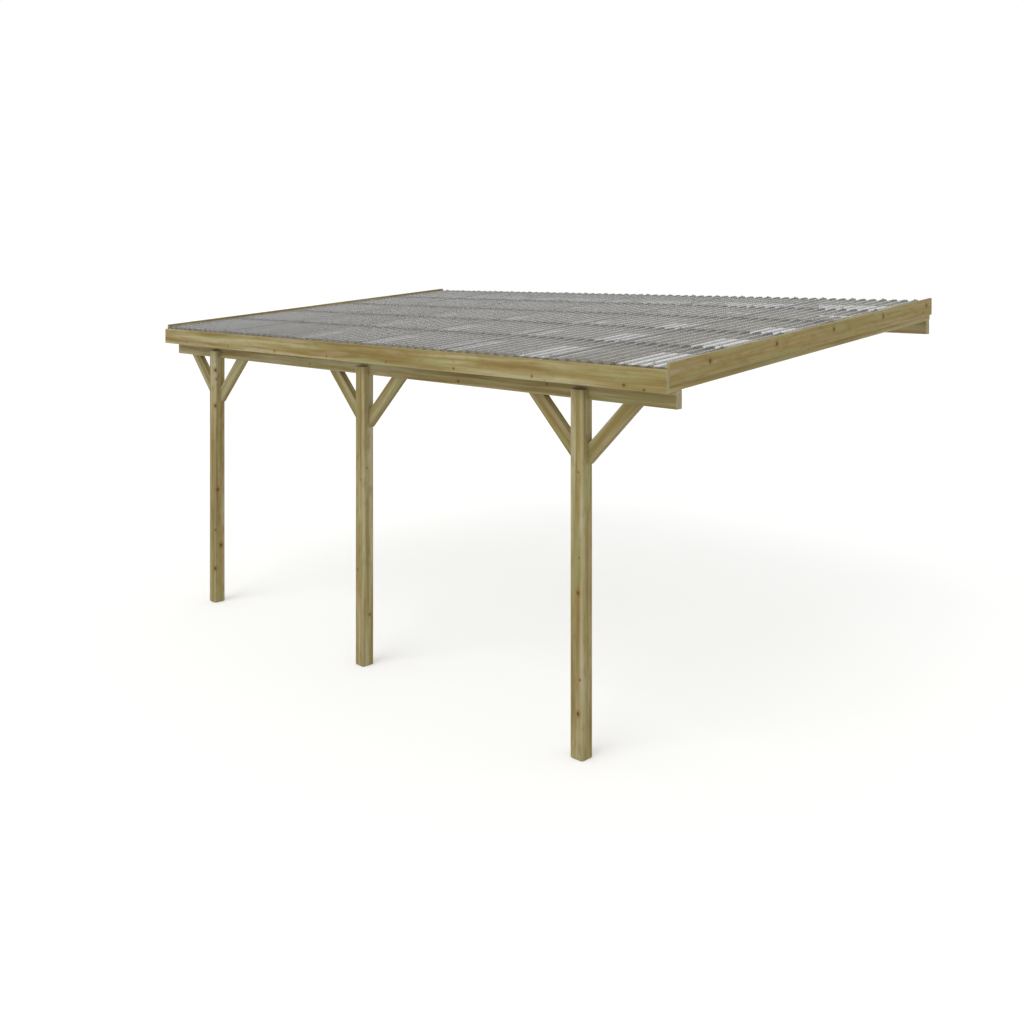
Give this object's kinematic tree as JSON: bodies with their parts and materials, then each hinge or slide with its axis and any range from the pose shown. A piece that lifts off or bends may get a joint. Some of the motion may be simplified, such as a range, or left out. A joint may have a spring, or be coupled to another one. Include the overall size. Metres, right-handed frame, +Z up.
{
  "type": "lean-to patio cover",
  "caption": "Open timber lean-to patio cover: braced front posts and a beam carry sloping rafters under clear grey corrugated sheets, with a wall beam fixed along the back.",
  "frame": {"origin": "middle of the wall beam's flat back face, where it bears on the house wall", "axes": "+X to the right as seen from the front, +Y out of the back towards the house wall, +Z up"},
  "size_m": [5, 2.99, 2.3713],
  "materials": {
    "post_timber": "planed, pressure-treated",
    "brace_timber": "planed, pressure-treated",
    "beam_timber": "planed, pressure-treated",
    "board_timber": "planed, pressure-treated",
    "rafter_timber": "planed, pressure-treated",
    "batten_timber": "sawn, pressure-treated",
    "roof_sheet": "clear smoke-grey, glossy"
  },
  "bodies": {
    "root": {"post_left": "post_timber", "post_middle": "post_timber", "post_right": "post_timber", "post_left_brace_left": "brace_timber", "post_left_brace_right": "brace_timber", "post_middle_brace_left": "brace_timber", "post_middle_brace_right": "brace_timber", "post_right_brace_left": "brace_timber", "post_right_brace_right": "brace_timber", "front_beam": "beam_timber", "wall_beam": "beam_timber", "fascia_board": "board_timber", "side_board_left": "board_timber", "side_board_right": "board_timber", "rafter_1": "rafter_timber", "rafter_2": "rafter_timber", "rafter_3": "rafter_timber", "rafter_4": "rafter_timber", "rafter_5": "rafter_timber", "rafter_6": "rafter_timber", "rafter_7": "rafter_timber", "batten_1": "batten_timber", "batten_2": "batten_timber", "batten_3": "batten_timber", "batten_4": "batten_timber", "batten_5": "batten_timber", "batten_6": "batten_timber", "roof_sheet_1": "roof_sheet", "roof_sheet_2": "roof_sheet", "roof_sheet_3": "roof_sheet", "roof_sheet_4": "roof_sheet", "roof_sheet_5": "roof_sheet", "roof_sheet_6": "roof_sheet"}
  },
  "joints": []
}
